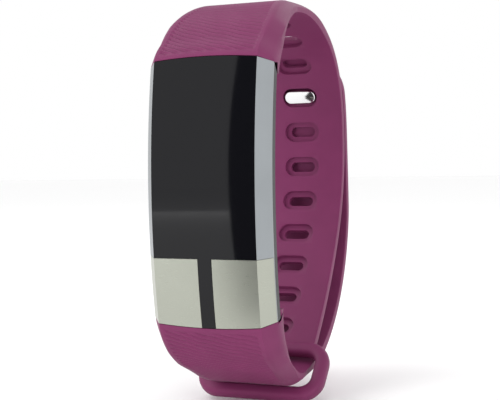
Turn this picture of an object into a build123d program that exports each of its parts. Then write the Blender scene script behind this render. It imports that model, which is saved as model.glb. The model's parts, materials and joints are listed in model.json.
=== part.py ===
from build123d import *
import os
from math import asin, cos, degrees, radians, sin

os.makedirs("parts", exist_ok=True)

# Fitness tracker band, buckled. Millimetres. X runs along the wrist, Z is up and the
# display faces -Y. The origin is the centre of the wrist opening.

# ---------------------------------------------------------------- module shell
front_y = -30.0             # crest of the curved display
front_radius = 122.0        # curve of the display along the arm, about an axis parallel to X
module_half_length = 21.45  # on the centre line
end_arch_radius = 86.0      # both ends of the module bow outwards
glass_half_width = 8.8
module_half_width = 10.65
bevel_depth = 2.57          # the bevel falls this far behind the display
frame_depth = 2.9           # joint between the bright frame and the dark housing
side_wall_depth = 4.2       # back edge of the dark side wall
glass_thickness = 1.1
electrode_thickness = 0.8
joint_z = -10.3             # glass above, electrodes below
stem_half_width = 1.15      # glass stem between the two electrodes
fit_gap = 0.06              # between the pieces of the module's face
back_y = -19.0              # back face of the housing
back_half_width = 8.2
back_half_length = 15.5
rear_half_length = 18.5     # housing behind the side wall
cavity_half_width = 9.3
cavity_half_length = 15.4
ledge_y = -20.4             # seat of the back cover
ledge_thickness = 0.9
seat_half_width = 6.4
seat_half_length = 13.4
cover_half_width = 7.4
cover_half_length = 14.6
cover_gap = 0.05
gasket_height = 0.4
gasket_width = 0.55
bump_half_width = 5.6
bump_half_length = 11.0
bump_height = 0.6
window_radius = 3.6
window_z = 2.0
screw_x = 5.75
screw_z = 12.75
screw_radius = 0.5
screw_head_radius = 0.85
screw_boss_radius = 1.25

# ---------------------------------------------------------------- straps
strap_thickness = 1.9
strap_half_width = 8.5
layer_gap = 0.1             # between the two straps where they lie on each other
root_gap = 0.12             # between a strap's end and the module
taper_start_y = -21.0       # the straps narrow from the module's width to their own
upper_taper_end_y = -7.0
lower_taper_end_y = -4.0
bevel_fade_length = 22.0    # the module's bevel fades out along each strap
bevel_fade_depth = 0.35
# Inner face of each strap: radius and turn in degrees of arcs that run clockwise.
upper_start = (-23.8, 17.6)
upper_heading = 75.0
upper_arcs = [(16.5, 48.0), (28.0, 28.0), (30.0, 28.0), (17.0, 50.0), (36.0, 42.0), (80.0, 18.0)]
upper_front_points = [(-24.6, 25.3), (-20.6, 28.9), (-15.0, 31.5)]
lower_front_points = [(-15.6, -31.9), (-22.0, -29.4), (-26.0, -25.7)]
lower_arcs = [(580.0, 1.5), (16.0, 12.5), (30.6, 73.5), (18.5, 28.0), (50.0, 7.0), (10.0, 70.0)]
contact_heading = -86.0     # the straps touch above this heading and part below it
hole_count = 11
hole_pitch = 7.03
first_hole = 33.7           # along the inner face, from the strap's start
recess_size = (7.1, 3.85)
recess_depth = 0.85
slot_size = (5.0, 1.9)
stud_hole = 3               # counted from zero: the hole that the stud is in
head_size = (6.4, 2.6)
head_thickness = 0.8
shank_size = (4.4, 1.3)
flange_size = (7.4, 3.4)
flange_thickness = 0.5
stud_gap = 0.03
release_room = 0.45         # extra slot length on the tip side, so that the head swings out
tail_tip = 47.3             # along the upper strap's inner face
tail_hinge = 20.0           # from the stud to the bending line
hinge_gap = 0.05
ring_half_width = 12.0
ring_length = 12.4
ring_bar = 2.5
ring_thickness = 2.3
ring_corner = 4.5
ring_overlap = 1.1

# ---------------------------------------------------------------- spring bars
bar_y = -23.9
bar_z = 22.3
bar_radius = 0.75
bar_bore_gap = 0.06
bar_half_length = 7.0
bar_wall = 0.2
tip_radius = 0.4
tip_reach = 8.5
tongue_half_width = 4.75
tongue_radius = 1.35
tongue_gap = 0.2
knob_x = 6.4
knob_radius = 0.32
knob_height = 2.1
knob_travel = 1.2
spring_wire = 0.09
spring_radius = 0.4
spring_turns = 15
spring_length = 9.6      # rests between the fixed tip and the sliding tip

# ---------------------------------------------------------------- inside the module
display_half_width = 7.2
display_thickness = 1.15
display_top_z = 19.0
board_y = -25.4
board_thickness = 0.8
board_half_width = 8.4
board_half_length = 15.0
part_gap = 0.05             # between a part and what it is mounted on
battery_thickness = 2.7
battery_size = (12.0, 16.0)  # across and along
battery_z = 3.0
motor_radius = 4.0
motor_height = 2.6
motor_z = -10.6
motor_wall = 0.25
motor_shaft_radius = 0.4
motor_clearance = 0.05
sensor_board_y = -21.3
sensor_board_thickness = 0.45

curve_axis_y = front_y + front_radius
curve_axis = Axis((0, curve_axis_y, 0), (1, 0, 0))
end_angle = degrees(asin((module_half_length + 1.0) / front_radius))
joint_angle = degrees(asin(-joint_z / front_radius))
frame_radius = front_radius - frame_depth
wall_radius = front_radius - side_wall_depth
cover_y = ledge_y + gasket_height


def save(piece, name):
    piece.label = name
    export_step(piece, f"parts/{name}.step")


def block(x_span, y_span, z_span, mode=Mode.ADD):
    sizes = [span[1] - span[0] for span in (x_span, y_span, z_span)]
    middle = [(span[0] + span[1]) / 2 for span in (x_span, y_span, z_span)]
    with Locations(tuple(middle)):
        Box(*sizes, mode=mode)


def curved_bar(section, low_angle, high_angle, mode=Mode.ADD):
    """Turn a section, given as points of x and radius, about the display's curve axis."""
    low = radians(low_angle)
    start = Plane(origin=(0, curve_axis_y, 0), x_dir=(1, 0, 0), z_dir=(0, -sin(low), -cos(low)))
    with BuildSketch(start) as face:
        with BuildLine():
            Polyline(*[(x, radius) for x, radius in section], close=True)
        make_face()
    revolve(face.sketch, axis=curve_axis, revolution_arc=-(high_angle - low_angle), mode=mode)


def end_limits(gap=0.0, height=60.0):
    """The space between the module's two bowed ends, grown by a gap."""
    with BuildPart() as limits:
        for side in (1, -1):
            tilt = asin(module_half_length / front_radius) * side
            radial = (0, -cos(tilt), sin(tilt))
            along = (0, sin(tilt), cos(tilt))
            centre_y = curve_axis_y - front_radius * cos(tilt) - along[1] * end_arch_radius * side
            centre_z = front_radius * sin(tilt) - along[2] * end_arch_radius * side
            place = Plane(origin=(0, centre_y, centre_z), x_dir=(1, 0, 0), z_dir=radial)
            with Locations(place):
                Cylinder(end_arch_radius + gap, height, mode=Mode.ADD if side == 1 else Mode.INTERSECT)
    return limits.part


def walk(start, heading, arcs):
    """Junctions of a chain of clockwise arcs, as y, z and heading in degrees."""
    junctions = [(start[0], start[1], heading)]
    for radius, turn in arcs:
        y, z, angle = junctions[-1]
        centre = (y + radius * sin(radians(angle)), z - radius * cos(radians(angle)))
        angle -= turn
        junctions.append((centre[0] - radius * sin(radians(angle)), centre[1] + radius * cos(radians(angle)), angle))
    return junctions


def point_along(start, heading, arcs, distance):
    """Point and heading at a distance along a chain of arcs."""
    done = 0.0
    for (y, z, angle), (radius, turn) in zip(walk(start, heading, arcs), arcs):
        length = radius * radians(turn)
        if distance <= done + length:
            return walk((y, z), angle, [(radius, degrees((distance - done) / radius))])[-1]
        done += length
    raise ValueError("the distance is past the end of the chain")


def heading_distance(heading, arcs, target):
    """Distance along a chain at which it has turned to the target heading."""
    left = heading - target
    distance = 0.0
    for radius, turn in arcs:
        distance += radius * radians(min(turn, left))
        left -= min(turn, left)
    return distance


def part_of_chain(arcs, low, high):
    """The arcs between two distances along a chain."""
    piece = []
    done = 0.0
    for radius, turn in arcs:
        length = radius * radians(turn)
        first = max(low, done)
        last = min(high, done + length)
        if last > first:
            piece.append((radius, degrees((last - first) / radius)))
        done += length
    return piece


def outward(junction, distance):
    y, z, angle = junction
    return (y - sin(radians(angle)) * distance, z + cos(radians(angle)) * distance)


def unit(angle):
    return (cos(radians(angle)), sin(radians(angle)))


def face_plane(junction, height=0.0):
    """A plane on a strap's face: x across, y along the strap, z outwards."""
    y, z = outward(junction, height)
    angle = radians(junction[2])
    return Plane(origin=(0, y, z), x_dir=(1, 0, 0), z_dir=(0, -sin(angle), cos(angle)))


def draw_arcs(start, heading, arcs, grown=0.0):
    """Arcs of the chain, moved outwards by a distance, inside an open BuildLine."""
    for junction, (radius, turn) in zip(walk(start, heading, arcs), arcs):
        JernArc(outward(junction, grown), unit(junction[2]), radius + grown, -turn)


def strap_profile(start, heading, arcs, fade, front_points, front_end, front_tangent, front_first):
    """Side view of a strap: arcs inside, and outside arcs that run into a thick root.

    fade is the distance along the chain where the even thickness ends or begins.
    """
    total = sum(radius * radians(turn) for radius, turn in arcs)
    even = (fade, total) if front_first else (0.0, fade)
    even_start = point_along(start, heading, arcs, even[0])
    even_arcs = part_of_chain(arcs, *even)
    last = walk(start, heading, arcs)[-1]
    with BuildSketch(Plane.YZ) as profile:
        with BuildLine():
            draw_arcs(start, heading, arcs)
            draw_arcs(even_start[:2], even_start[2], even_arcs, grown=strap_thickness)
            if front_first:
                join = outward(even_start, strap_thickness)
                Spline(front_end, *front_points, join, tangents=[front_tangent, unit(even_start[2])])
                Line(start, front_end)
                Line(last[:2], outward(last, strap_thickness))
            else:
                even_last = walk(even_start[:2], even_start[2], even_arcs)[-1]
                join = outward(even_last, strap_thickness)
                Spline(join, *front_points, front_end, tangents=[unit(even_last[2]), front_tangent])
                Line(last[:2], front_end)
                Line(start, outward((start[0], start[1], heading), strap_thickness))
        make_face()
    return profile.sketch


upper_chain = (upper_start, upper_heading, upper_arcs)
upper_total = sum(radius * radians(turn) for radius, turn in upper_arcs)
stud_distance = first_hole + stud_hole * hole_pitch
stud_seat = point_along(*upper_chain, stud_distance)

# The lower strap lies on the upper one from its tip to where the two part.
contact_end = heading_distance(upper_heading, upper_arcs, contact_heading)
tip_seat = point_along(*upper_chain, tail_tip)
layer_rise = strap_thickness + layer_gap
contact_arcs = [(radius + layer_rise, turn) for radius, turn in part_of_chain(upper_arcs, tail_tip, contact_end)]
outer_start = outward(tip_seat, layer_rise)
outer_arcs = contact_arcs + lower_arcs
outer_chain = (outer_start, tip_seat[2], outer_arcs)
outer_total = sum(radius * radians(turn) for radius, turn in outer_arcs)
stud_on_tail = sum(
    radius * radians(turn)
    for radius, turn in [(r + layer_rise, t) for r, t in part_of_chain(upper_arcs, tail_tip, stud_distance)]
)
hinge_distance = stud_on_tail + tail_hinge
hinge_seat = point_along(*outer_chain, hinge_distance)
hinge_point = outward(hinge_seat, strap_thickness)
print("lower chain ends", [round(value, 2) for value in walk(*outer_chain)[-1]])
print("hinge", [round(value, 3) for value in hinge_point], "stud", [round(value, 2) for value in stud_seat])

# ---------------------------------------------------------------- face of the module
limits = end_limits()
joint_low = -joint_angle

with BuildPart() as front_glass:
    edge = glass_half_width - fit_gap
    plate = [(-edge, front_radius), (edge, front_radius)]
    plate += [(edge, front_radius - glass_thickness), (-edge, front_radius - glass_thickness)]
    curved_bar(plate, joint_low, end_angle)
    edge = stem_half_width
    stem = [(-edge, front_radius), (edge, front_radius)]
    stem += [(edge, front_radius - glass_thickness), (-edge, front_radius - glass_thickness)]
    curved_bar(stem, -end_angle, joint_low + 0.1)
    add(limits, mode=Mode.INTERSECT)
save(front_glass.part, "front_glass")

# Unit vector down the bevel, and the inner line of a plate that wraps over it.
bevel_run = module_half_width - glass_half_width
bevel_length = (bevel_run**2 + bevel_depth**2) ** 0.5
bevel_x = bevel_run / bevel_length
bevel_r = bevel_depth / bevel_length
plate_bottom = front_radius - electrode_thickness
inner_x = glass_half_width - electrode_thickness * bevel_r
inner_r = front_radius - electrode_thickness * bevel_x
corner_step = (inner_r - plate_bottom) / bevel_r
inner_corner = (inner_x + corner_step * bevel_x, plate_bottom)
bevel_bottom = front_radius - bevel_depth
end_step = (inner_r - bevel_bottom) / bevel_r
inner_end = (inner_x + end_step * bevel_x, bevel_bottom)
plate_edge = stem_half_width + fit_gap
wrap = [(plate_edge, front_radius), (glass_half_width, front_radius), (module_half_width, bevel_bottom)]
wrap += [inner_end, inner_corner, (plate_edge, plate_bottom)]
electrode_gap_angle = degrees(fit_gap / front_radius)

with BuildPart() as right_electrode:
    curved_bar(wrap, -end_angle, joint_low - electrode_gap_angle)
    add(limits, mode=Mode.INTERSECT)
save(right_electrode.part, "right_electrode")

with BuildPart() as left_electrode:
    curved_bar([(-x, radius) for x, radius in wrap], -end_angle, joint_low - electrode_gap_angle)
    add(limits, mode=Mode.INTERSECT)
save(left_electrode.part, "left_electrode")

# The frame is one bright ring: bevels beside the glass, a lowered seat under the electrodes,
# a bar across each end and one under the joint.
frame_inner = 7.6
frame_bar_angle = 0.75
glass_seat = front_radius - glass_thickness - fit_gap
plate_seat = plate_bottom - fit_gap
side_bar = [(glass_half_width, front_radius), (module_half_width, bevel_bottom)]
side_bar += [(module_half_width, frame_radius), (frame_inner, frame_radius), (frame_inner, glass_seat)]
side_bar += [(glass_half_width, glass_seat)]
low_bar = [(inner_corner[0] - fit_gap, plate_seat), (inner_end[0] - fit_gap, bevel_bottom - fit_gap)]
low_bar += [(module_half_width, bevel_bottom - fit_gap), (module_half_width, frame_radius)]
low_bar += [(frame_inner, frame_radius), (frame_inner, plate_seat)]
cross_bar = [(-frame_inner - 0.2, glass_seat), (frame_inner + 0.2, glass_seat)]
cross_bar += [(frame_inner + 0.2, frame_radius), (-frame_inner - 0.2, frame_radius)]
low_cross = [(x, min(radius, plate_seat)) for x, radius in cross_bar]
module_end_angle = degrees(asin(module_half_length / front_radius))

with BuildPart() as front_frame:
    for flip in (1, -1):
        curved_bar([(x * flip, radius) for x, radius in side_bar], joint_low, end_angle)
        curved_bar([(x * flip, radius) for x, radius in low_bar], -end_angle, joint_low)
    curved_bar(cross_bar, module_end_angle - frame_bar_angle - 0.2, end_angle)
    curved_bar(cross_bar, joint_low - 0.35, joint_low + 0.35)
    curved_bar(low_cross, -end_angle, frame_bar_angle - module_end_angle)
    add(limits, mode=Mode.INTERSECT)
save(front_frame.part, "front_frame")

# ---------------------------------------------------------------- rear housing and back cover
housing_front = frame_radius - fit_gap
housing_section = [(-module_half_width, housing_front), (module_half_width, housing_front)]
housing_section += [(module_half_width, wall_radius), (back_half_width, wall_radius - 6.6)]
housing_section += [(back_half_width, 100.0), (-back_half_width, 100.0)]
housing_section += [(-back_half_width, wall_radius - 6.6), (-module_half_width, wall_radius)]
step_y = curve_axis_y - wall_radius * cos(radians(module_end_angle)) + 0.05
step_angle = degrees(asin(rear_half_length / wall_radius))
behind_wall = [(-module_half_width - 1, wall_radius), (module_half_width + 1, wall_radius)]
behind_wall += [(module_half_width + 1, 100.0), (-module_half_width - 1, 100.0)]
cavity_back_y = ledge_y - ledge_thickness

with BuildPart() as rear_housing:
    curved_bar(housing_section, -end_angle, end_angle)
    add(limits, mode=Mode.INTERSECT)
    with BuildSketch(Plane.YZ) as side_view:
        with BuildLine():
            Polyline(
                (front_y - 1, -module_half_length - 2),
                (step_y, -module_half_length - 2),
                (step_y, -rear_half_length),
                (back_y, -back_half_length),
                (back_y, back_half_length),
                (step_y, rear_half_length),
                (step_y, module_half_length + 2),
                (front_y - 1, module_half_length + 2),
                close=True,
            )
        make_face()
    extrude(amount=module_half_width + 1, both=True, mode=Mode.INTERSECT)
    curved_bar(behind_wall, step_angle, end_angle, mode=Mode.SUBTRACT)
    curved_bar(behind_wall, -end_angle, -step_angle, mode=Mode.SUBTRACT)
    # lugs that carry the spring bars
    for side in (1, -1):
        with BuildSketch(Plane.YZ):
            with Locations((bar_y, bar_z * side)):
                Circle(tongue_radius)
            with Locations((bar_y, (bar_z - 3.2) * side)):
                Rectangle(2 * tongue_radius, 6.4)
        extrude(amount=tongue_half_width, both=True)
        with Locations(Plane(origin=(0, bar_y, bar_z * side), z_dir=(1, 0, 0))):
            Cylinder(bar_radius + bar_bore_gap, 2 * tongue_half_width + 1, mode=Mode.SUBTRACT)
    front_room = [(-tongue_half_width - 1, housing_front), (tongue_half_width + 1, housing_front)]
    front_room += [(tongue_half_width + 1, front_radius), (-tongue_half_width - 1, front_radius)]
    curved_bar(front_room, -module_end_angle - 0.05, module_end_angle + 0.05, mode=Mode.SUBTRACT)
    # cavity for the electronics, with a ledge for the cover
    block((-cavity_half_width, cavity_half_width), (front_y - 1, board_y + 1.0),
          (-cavity_half_length, cavity_half_length), mode=Mode.SUBTRACT)
    block((1.0 - cavity_half_width, cavity_half_width - 1.0), (board_y, cavity_back_y),
          (-cavity_half_length, cavity_half_length), mode=Mode.SUBTRACT)
    block((-seat_half_width, seat_half_width), (cavity_back_y - 1, back_y + 1),
          (-seat_half_length, seat_half_length), mode=Mode.SUBTRACT)
    block((-cover_half_width - cover_gap, cover_half_width + cover_gap), (ledge_y, back_y + 1),
          (-cover_half_length - cover_gap, cover_half_length + cover_gap), mode=Mode.SUBTRACT)
    # screw bosses in the corners of the ledge
    with Locations(*[Plane(origin=(x, ledge_y, z), z_dir=(0, -1, 0))
                     for x in (-screw_x, screw_x) for z in (-screw_z, screw_z)]):
        Cylinder(screw_boss_radius, 2.4, align=(Align.CENTER, Align.CENTER, Align.MIN))
        Cylinder(screw_radius + 0.01, 2.0, align=(Align.CENTER, Align.CENTER, Align.MIN), mode=Mode.SUBTRACT)
save(rear_housing.part, "rear_housing")

screw_places = [(x, z) for x in (-screw_x, screw_x) for z in (-screw_z, screw_z)]
window_step = 0.7           # the window's flange is wider than its face
contact_x = 3.4
contact_z = -7.0
contact_size = (2.6, 4.2)   # rear electrodes, across and along
charge_x = 1.6
charge_z = 8.6
charge_radius = 0.75
seat_gap = 0.02

with BuildPart() as back_cover:
    with BuildSketch(Plane.XZ.offset(-cover_y)):
        RectangleRounded(2 * cover_half_width, 2 * cover_half_length, 0.4)
    extrude(amount=cover_y - back_y)
    with BuildSketch(Plane.XZ.offset(-back_y)):
        RectangleRounded(2 * bump_half_width, 2 * bump_half_length, 2.5)
    extrude(amount=-bump_height)
    with Locations(*[Plane(origin=(x, back_y, z), z_dir=(0, 1, 0)) for x, z in screw_places]):
        CounterBoreHole(screw_radius + 0.08, screw_head_radius + 0.1, 0.45, depth=2.0)
    with Locations(Plane(origin=(0, back_y + bump_height, window_z), z_dir=(0, 1, 0))):
        CounterBoreHole(window_radius + seat_gap, window_radius + seat_gap, 0.1, depth=3.0)
    with Locations(Plane(origin=(0, cover_y, window_z), z_dir=(0, -1, 0))):
        CounterBoreHole(window_radius + seat_gap, window_radius + window_step + seat_gap, 0.5, depth=3.0)
    with Locations(*[Plane(origin=(x, back_y + bump_height, charge_z), z_dir=(0, 1, 0))
                     for x in (-charge_x, charge_x)]):
        Hole(charge_radius + seat_gap, depth=3.0)
    with BuildSketch(Plane.XZ.offset(-back_y - bump_height)):
        with Locations((-contact_x, contact_z), (contact_x, contact_z)):
            SlotOverall(contact_size[1] + seat_gap, contact_size[0] + seat_gap, rotation=90)
    extrude(amount=3.0, mode=Mode.SUBTRACT)
save(back_cover.part, "back_cover")

with BuildPart() as cover_gasket:
    with BuildSketch(Plane.XZ.offset(-ledge_y)):
        RectangleRounded(2 * cover_half_width - 0.1, 2 * cover_half_length - 0.1, 0.4)
        RectangleRounded(2 * (cover_half_width - gasket_width), 2 * (cover_half_length - gasket_width), 0.3,
                         mode=Mode.SUBTRACT)
    extrude(amount=-gasket_height)
save(cover_gasket.part, "cover_gasket")

with BuildPart() as cover_screws:
    with Locations(*[Plane(origin=(x, back_y - 0.45, z), z_dir=(0, 1, 0)) for x, z in screw_places]):
        Cylinder(screw_head_radius, 0.4, align=(Align.CENTER, Align.CENTER, Align.MIN))
        Cylinder(screw_radius, 2.3, align=(Align.CENTER, Align.CENTER, Align.MAX))
    with Locations(*[Plane(origin=(x, back_y - 0.05, z), z_dir=(0, 1, 0)) for x, z in screw_places]):
        Box(0.22, 1.1, 0.4, mode=Mode.SUBTRACT)
        Box(1.1, 0.22, 0.4, mode=Mode.SUBTRACT)
save(cover_screws.part, "cover_screws")

with BuildPart() as sensor_window:
    with Locations(Plane(origin=(0, back_y + bump_height, window_z), z_dir=(0, -1, 0))):
        Cylinder(window_radius, 1.15, align=(Align.CENTER, Align.CENTER, Align.MIN))
    with Locations(Plane(origin=(0, cover_y + 0.03, window_z), z_dir=(0, 1, 0))):
        Cylinder(window_radius + window_step, 0.45, align=(Align.CENTER, Align.CENTER, Align.MIN))
save(sensor_window.part, "sensor_window")

with BuildPart() as rear_electrodes:
    with BuildSketch(Plane.XZ.offset(-back_y - bump_height)):
        with Locations((-contact_x, contact_z), (contact_x, contact_z)):
            SlotOverall(contact_size[1], contact_size[0], rotation=90)
    extrude(amount=1.6)
save(rear_electrodes.part, "rear_electrodes")

with BuildPart() as charging_contacts:
    with Locations(*[Plane(origin=(x, back_y + bump_height - 0.1, charge_z), z_dir=(0, -1, 0))
                     for x in (-charge_x, charge_x)]):
        Cylinder(charge_radius, 1.6, align=(Align.CENTER, Align.CENTER, Align.MIN))
save(charging_contacts.part, "charging_contacts")

# ---------------------------------------------------------------- display stack
display_front = front_radius - glass_thickness - 0.15
display_back = display_front - display_thickness
display_low_angle = joint_low + 0.5
display_high_angle = degrees(asin(display_top_z / front_radius))

with BuildPart() as display_panel:
    inset = display_half_width
    panel = [(-inset, display_front), (inset, display_front), (inset, display_back), (-inset, display_back)]
    curved_bar(panel, display_low_angle, display_high_angle)
save(display_panel.part, "display_panel")

with BuildPart() as display_flex:
    tail_half_width = 3.2
    tail_top = display_back - part_gap
    tail_bottom = tail_top - 0.15
    tail = [(-tail_half_width, tail_top), (tail_half_width, tail_top)]
    tail += [(tail_half_width, tail_bottom), (-tail_half_width, tail_bottom)]
    curved_bar(tail, display_low_angle + 0.6, display_low_angle + 5.0)
save(display_flex.part, "display_flex")

with BuildPart() as touch_pad:
    pad_top = front_radius - glass_thickness - 0.02
    pad = [(-stem_half_width, pad_top), (stem_half_width, pad_top)]
    pad += [(stem_half_width, plate_bottom - 0.5), (-stem_half_width, plate_bottom - 0.5)]
    curved_bar(pad, -8.9, joint_low - 0.5)
save(touch_pad.part, "touch_pad")

# ---------------------------------------------------------------- main board and what it carries
board_front = board_y
board_back = board_y + board_thickness

with BuildPart() as main_board:
    with BuildSketch(Plane.XZ.offset(-board_front)):
        RectangleRounded(2 * board_half_width, 2 * board_half_length, 1.0)
    extrude(amount=-board_thickness)
save(main_board.part, "main_board")


def on_front(x, z, width, length, height):
    """A block that stands on the board's front face."""
    block((x - width / 2, x + width / 2), (board_front - part_gap - height, board_front - part_gap),
          (z - length / 2, z + length / 2))


with BuildPart() as processor:
    on_front(-2.6, 8.0, 5.0, 5.0, 0.8)
save(processor.part, "processor")

with BuildPart() as radio_shield:
    on_front(3.4, 8.0, 4.6, 6.0, 0.85)
save(radio_shield.part, "radio_shield")

with BuildPart() as antenna:
    on_front(0.0, 13.4, 7.0, 1.4, 0.5)
save(antenna.part, "antenna")

with BuildPart() as memory_chip:
    on_front(-3.4, 2.2, 4.0, 3.2, 0.7)
save(memory_chip.part, "memory_chip")

with BuildPart() as motion_sensor:
    on_front(2.6, 2.4, 2.2, 2.2, 0.75)
save(motion_sensor.part, "motion_sensor")

with BuildPart() as board_connectors:
    on_front(0.0, -2.4, 6.6, 2.0, 0.7)
    on_front(-5.6, -6.0, 3.4, 2.0, 0.7)
save(board_connectors.part, "board_connectors")

with BuildPart() as electrode_springs:
    for x in (-5.2, 5.2):
        on_front(x, -11.6, 1.2, 3.0, 0.35)
        block((x - 0.6, x + 0.6), (board_front - part_gap - 1.9, board_front - part_gap), (-13.1, -12.9))
        block((x - 0.6, x + 0.6), (board_front - part_gap - 2.1, board_front - part_gap - 1.9), (-13.1, -10.9))
save(electrode_springs.part, "electrode_springs")

with BuildPart() as battery:
    with BuildSketch(Plane.XZ.offset(-board_back - part_gap)):
        with Locations((0, battery_z)):
            RectangleRounded(*battery_size, 1.2)
    extrude(amount=-battery_thickness)
save(battery.part, "battery")

with BuildPart() as battery_leads:
    for x in (-6.9, -7.6):
        with Locations(Plane(origin=(x, board_back + 0.5, 3.0), z_dir=(0, 0, 1))):
            Cylinder(0.25, 14.0)
save(battery_leads.part, "battery_leads")

# ---------------------------------------------------------------- vibration motor
motor_front = board_back + part_gap
motor_back = motor_front + motor_height

with BuildPart() as motor_can:
    with Locations(Plane(origin=(0, motor_front, motor_z), z_dir=(0, 1, 0))):
        Cylinder(motor_radius, motor_height, align=(Align.CENTER, Align.CENTER, Align.MIN))
        with Locations((0, 0, motor_wall)):
            Cylinder(motor_radius - motor_wall, motor_height - 2 * motor_wall,
                     align=(Align.CENTER, Align.CENTER, Align.MIN), mode=Mode.SUBTRACT)
            Cylinder(motor_shaft_radius, motor_height - 2 * motor_wall,
                     align=(Align.CENTER, Align.CENTER, Align.MIN))
save(motor_can.part, "motor_can")

rotor_thickness = 1.0
with BuildPart() as motor_rotor:
    with BuildSketch(Plane(origin=(0, motor_front + 0.8, motor_z), x_dir=(1, 0, 0), z_dir=(0, 1, 0))):
        Circle(motor_radius - motor_wall - 0.35)
        with Locations((0, 2.6)):
            Rectangle(2 * motor_radius, 3.6, mode=Mode.SUBTRACT)
        Circle(1.3)
        Circle(motor_shaft_radius + motor_clearance, mode=Mode.SUBTRACT)
    extrude(amount=rotor_thickness)
save(motor_rotor.part, "motor_rotor")

# ---------------------------------------------------------------- pulse sensor
sensor_back = sensor_board_y + sensor_board_thickness

with BuildPart() as sensor_board:
    block((-5.6, 5.6), (sensor_board_y, sensor_back), (-3.6, 7.6))
save(sensor_board.part, "sensor_board")

with BuildPart() as green_leds:
    for x in (-2.2, 2.2):
        block((x - 0.8, x + 0.8), (sensor_back + 0.02, sensor_back + 0.42), (window_z - 0.8, window_z + 0.8))
save(green_leds.part, "green_leds")

with BuildPart() as light_sensor:
    block((-0.7, 0.7), (sensor_back + 0.02, sensor_back + 0.42), (window_z - 1.3, window_z + 1.3))
save(light_sensor.part, "light_sensor")


# ---------------------------------------------------------------- spring bars
def spring_bar(prefix, side):
    """Quick-release spring bar: a tube, a fixed tip, a tip that slides in with its knob, a spring."""
    centre_z = bar_z * side
    across = Plane(origin=(0, bar_y, centre_z), z_dir=(1, 0, 0))
    bore_radius = bar_radius - bar_wall
    with BuildPart() as tube:
        with Locations(across):
            Cylinder(bar_radius, 2 * bar_half_length)
            Cylinder(bore_radius, 2 * bar_half_length, mode=Mode.SUBTRACT)
        block((knob_x - knob_travel - knob_radius - 0.1, knob_x + knob_radius + 0.1), (bar_y, bar_y + 1.0),
              (centre_z - knob_radius - 0.05, centre_z + knob_radius + 0.05), mode=Mode.SUBTRACT)
    save(tube.part, prefix + "_bar_tube")
    with BuildPart() as fixed_tip:
        with Locations(Plane(origin=(-bar_half_length - 0.03, bar_y, centre_z), z_dir=(-1, 0, 0))):
            Cylinder(bar_radius, 0.25, align=(Align.CENTER, Align.CENTER, Align.MIN))
            Cylinder(tip_radius, tip_reach - bar_half_length, align=(Align.CENTER, Align.CENTER, Align.MIN))
            Cylinder(bore_radius - 0.01, 2.0, align=(Align.CENTER, Align.CENTER, Align.MAX))
    save(fixed_tip.part, prefix + "_bar_fixed_tip")
    with BuildPart() as sliding_tip:
        with Locations(Plane(origin=(tip_reach, bar_y, centre_z), z_dir=(-1, 0, 0))):
            Cylinder(tip_radius, tip_reach - knob_x + 1.3, align=(Align.CENTER, Align.CENTER, Align.MIN))
        with Locations(Plane(origin=(knob_x + 0.5, bar_y, centre_z), z_dir=(-1, 0, 0))):
            Cylinder(bore_radius - 0.03, 2.0, align=(Align.CENTER, Align.CENTER, Align.MIN))
        with Locations(Plane(origin=(knob_x, bar_y, centre_z), z_dir=(0, 1, 0))):
            Cylinder(knob_radius, knob_height, align=(Align.CENTER, Align.CENTER, Align.MIN))
    save(sliding_tip.part, prefix + "_bar_sliding_tip")
    with BuildPart() as coil:
        low_x = knob_x - 1.75 - spring_length
        with BuildLine():
            turns = Helix(spring_length / spring_turns, spring_length, spring_radius - spring_wire,
                          center=(low_x, bar_y, centre_z), direction=(1, 0, 0))
        with BuildSketch(Plane(origin=turns @ 0, z_dir=turns % 0)):
            RegularPolygon(spring_wire, 8)
        sweep()
    save(coil.part, prefix + "_bar_spring")


spring_bar("upper", 1)
spring_bar("lower", -1)


# ---------------------------------------------------------------- straps
def taper_prism(taper_end_y):
    """The straps' outline across the arm: the module's width, then a taper to the strap's own."""
    outline = [(-module_half_width, front_y - 5), (-module_half_width, taper_start_y)]
    outline += [(-strap_half_width, taper_end_y), (-strap_half_width, 60)]
    with BuildPart() as prism:
        with BuildSketch(Plane.XY.offset(-60)):
            with BuildLine():
                Polyline(*outline, *[(-x, y) for x, y in reversed(outline)], close=True)
            make_face()
        extrude(amount=120)
    return prism.part


def root_cuts(side):
    """Room for the module's end, its lug, and the spring bar with its knob."""
    end = module_end_angle + 2.0
    room = [(-module_half_width - 1, wall_radius - root_gap), (module_half_width + 1, wall_radius - root_gap)]
    room += [(module_half_width + 1, front_radius + 4), (-module_half_width - 1, front_radius + 4)]
    with BuildPart() as module_room:
        curved_bar(room, -end, end)
        add(end_limits(root_gap), mode=Mode.INTERSECT)
    with BuildPart() as cuts:
        add(module_room.part)
        block((-module_half_width - 1, module_half_width + 1), (front_y, bar_y + 12),
              sorted_span(side * (rear_half_length + root_gap), 0.0), mode=Mode.ADD)
        pocket = tongue_half_width + tongue_gap
        with BuildSketch(Plane.YZ):
            with Locations((bar_y, bar_z * side)):
                Circle(tongue_radius + tongue_gap)
            with Locations((bar_y, (bar_z - 4.0) * side)):
                Rectangle(2 * (tongue_radius + tongue_gap), 8.0)
            with Locations((bar_y + 4.0, (bar_z - 3.0) * side)):
                Rectangle(8.0, 2 * (tongue_radius + tongue_gap) + 6.0)
        extrude(amount=pocket, both=True)
        with Locations(Plane(origin=(0, bar_y, bar_z * side), z_dir=(1, 0, 0))):
            Cylinder(bar_radius + bar_bore_gap, 2 * bar_half_length + 0.7)
            Cylinder(tip_radius + 0.05, 2 * tip_reach + 0.3)
        block((knob_x - knob_travel - knob_radius - 0.3, knob_x + knob_radius + 0.3), (bar_y, bar_y + 9),
              (bar_z * side - knob_radius - 0.3, bar_z * side + knob_radius + 0.3))
    return cuts.part


def sorted_span(one, other):
    return (min(one, other), max(one, other))


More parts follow.
